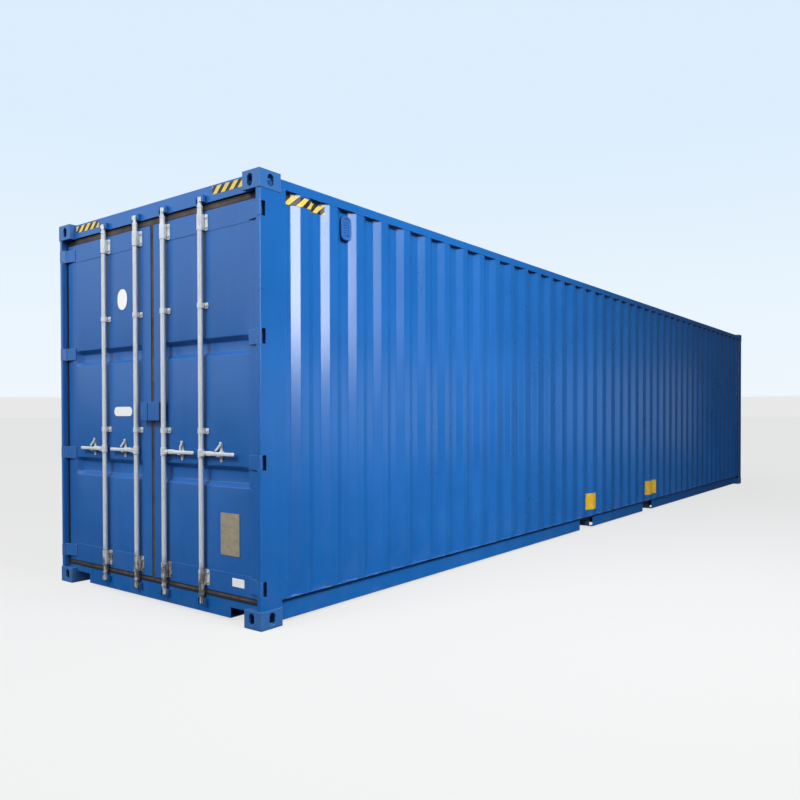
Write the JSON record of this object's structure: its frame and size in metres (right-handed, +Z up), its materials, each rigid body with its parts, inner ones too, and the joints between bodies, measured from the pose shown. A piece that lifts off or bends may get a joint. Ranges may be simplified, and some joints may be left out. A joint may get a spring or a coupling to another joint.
{
  "type": "shipping container",
  "caption": "Steel high-cube dry freight container with corrugated walls, double rear doors with lock rods and tilting handles, corner castings, fork pockets and gooseneck recess.",
  "frame": {"origin": "middle of the footprint, in the plane of the bottom castings' undersides", "axes": "+X along the length, from the doors towards the blind end; +Y to the left seen from the doors; +Z up"},
  "size_m": [12.192, 2.438, 2.896],
  "materials": {
    "blue_paint": "satin marine paint, slightly chalked",
    "casting_blue": "painted cast steel",
    "galvanised_steel": "hot dip galvanised, dull",
    "seal_rubber": "matt EPDM",
    "floor_plywood": "hardwood plywood, sealed",
    "vent_plastic": "painted moulding",
    "underframe_paint": "dark underseal paint"
  },
  "bodies": {
    "root": {"casting_bottom_rear_right": "casting_blue", "casting_top_rear_right": "casting_blue", "casting_bottom_rear_left": "casting_blue", "casting_top_rear_left": "casting_blue", "casting_bottom_front_right": "casting_blue", "casting_top_front_right": "casting_blue", "casting_bottom_front_left": "casting_blue", "casting_top_front_left": "casting_blue", "rear_post_right": "blue_paint", "rear_post_left": "blue_paint", "front_post_right": "blue_paint", "front_post_left": "blue_paint", "side_top_rail_right": "blue_paint", "side_top_rail_left": "blue_paint", "side_bottom_rail_right": "blue_paint", "side_bottom_rail_left": "blue_paint", "side_wall_right": "blue_paint", "side_wall_left": "blue_paint", "ventilator_right": "vent_plastic", "ventilator_left": "vent_plastic", "door_header": "blue_paint", "door_sill": "blue_paint", "front_top_rail": "blue_paint", "front_bottom_rail": "blue_paint", "end_wall": "blue_paint", "roof": "blue_paint", "floor_boards": "floor_plywood", "cross_members": "underframe_paint", "fork_pocket_rear": "underframe_paint", "fork_pocket_front": "underframe_paint", "gooseneck_tunnel": "underframe_paint", "cam_keepers_lower": "blue_paint", "cam_keepers_upper": "blue_paint"},
    "door_right": {"leaf_frame_right": "blue_paint", "leaf_panel_right": "blue_paint", "leaf_gasket_right": "seal_rubber", "hinge_blades_right": "blue_paint", "rod_brackets_right": "galvanised_steel", "handle_retainers_right": "galvanised_steel", "lock_box_right": "blue_paint"},
    "door_left": {"leaf_frame_left": "blue_paint", "leaf_panel_left": "blue_paint", "leaf_gasket_left": "seal_rubber", "hinge_blades_left": "blue_paint", "rod_brackets_left": "galvanised_steel", "handle_retainers_left": "galvanised_steel", "lock_box_left": "blue_paint"},
    "rod_inner_right": {"lock_rod_inner_right": "galvanised_steel"},
    "lever_inner_right": {"handle_inner_right": "galvanised_steel"},
    "hasp_inner_right": {"catch_inner_right": "galvanised_steel"},
    "rod_inner_left": {"lock_rod_inner_left": "galvanised_steel"},
    "lever_inner_left": {"handle_inner_left": "galvanised_steel"},
    "hasp_inner_left": {"catch_inner_left": "galvanised_steel"},
    "rod_outer_right": {"lock_rod_outer_right": "galvanised_steel"},
    "lever_outer_right": {"handle_outer_right": "galvanised_steel"},
    "hasp_outer_right": {"catch_outer_right": "galvanised_steel"},
    "rod_outer_left": {"lock_rod_outer_left": "galvanised_steel"},
    "lever_outer_left": {"handle_outer_left": "galvanised_steel"},
    "hasp_outer_left": {"catch_outer_left": "galvanised_steel"}
  },
  "joints": [
    {"name": "door_right_swing", "type": "hinge", "parent": "root", "child": "door_right", "pos_m": [-6.084, -1.207, 0.258], "axis": [0, 0, 1], "range_deg": [0, 267]},
    {"name": "door_left_swing", "type": "hinge", "parent": "root", "child": "door_left", "pos_m": [-6.084, 1.207, 0.258], "axis": [0, 0, -1], "range_deg": [0, 267]},
    {"name": "rod_inner_right_turn", "type": "hinge", "parent": "door_right", "child": "rod_inner_right", "pos_m": [-6.074, -0.17, 1.098], "axis": [0, 0, 1], "range_deg": [-110, 0]},
    {"name": "handle_inner_right_lift", "type": "hinge", "parent": "rod_inner_right", "child": "lever_inner_right", "pos_m": [-6.074, -0.212, 1.098], "axis": [-1, 0, 0], "range_deg": [0, 25]},
    {"name": "catch_inner_right_swing", "type": "hinge", "parent": "door_right", "child": "hasp_inner_right", "pos_m": [-6.0535, -0.352, 1.153], "axis": [-1, 0, 0], "range_deg": [-80, 80]},
    {"name": "rod_inner_left_turn", "type": "hinge", "parent": "door_left", "child": "rod_inner_left", "pos_m": [-6.074, 0.17, 1.098], "axis": [0, 0, -1], "range_deg": [-110, 0]},
    {"name": "handle_inner_left_lift", "type": "hinge", "parent": "rod_inner_left", "child": "lever_inner_left", "pos_m": [-6.074, 0.212, 1.098], "axis": [1, 0, 0], "range_deg": [0, 25]},
    {"name": "catch_inner_left_swing", "type": "hinge", "parent": "door_left", "child": "hasp_inner_left", "pos_m": [-6.0535, 0.352, 1.153], "axis": [1, 0, 0], "range_deg": [-80, 80]},
    {"name": "rod_outer_right_turn", "type": "hinge", "parent": "door_right", "child": "rod_outer_right", "pos_m": [-6.074, -0.595, 1.098], "axis": [0, 0, 1], "range_deg": [-110, 0]},
    {"name": "handle_outer_right_lift", "type": "hinge", "parent": "rod_outer_right", "child": "lever_outer_right", "pos_m": [-6.074, -0.637, 1.098], "axis": [-1, 0, 0], "range_deg": [0, 25]},
    {"name": "catch_outer_right_swing", "type": "hinge", "parent": "door_right", "child": "hasp_outer_right", "pos_m": [-6.0535, -0.777, 1.153], "axis": [-1, 0, 0], "range_deg": [-80, 80]},
    {"name": "rod_outer_left_turn", "type": "hinge", "parent": "door_left", "child": "rod_outer_left", "pos_m": [-6.074, 0.595, 1.098], "axis": [0, 0, -1], "range_deg": [-110, 0]},
    {"name": "handle_outer_left_lift", "type": "hinge", "parent": "rod_outer_left", "child": "lever_outer_left", "pos_m": [-6.074, 0.637, 1.098], "axis": [1, 0, 0], "range_deg": [0, 25]},
    {"name": "catch_outer_left_swing", "type": "hinge", "parent": "door_left", "child": "hasp_outer_left", "pos_m": [-6.0535, 0.777, 1.153], "axis": [1, 0, 0], "range_deg": [-80, 80]}
  ]
}
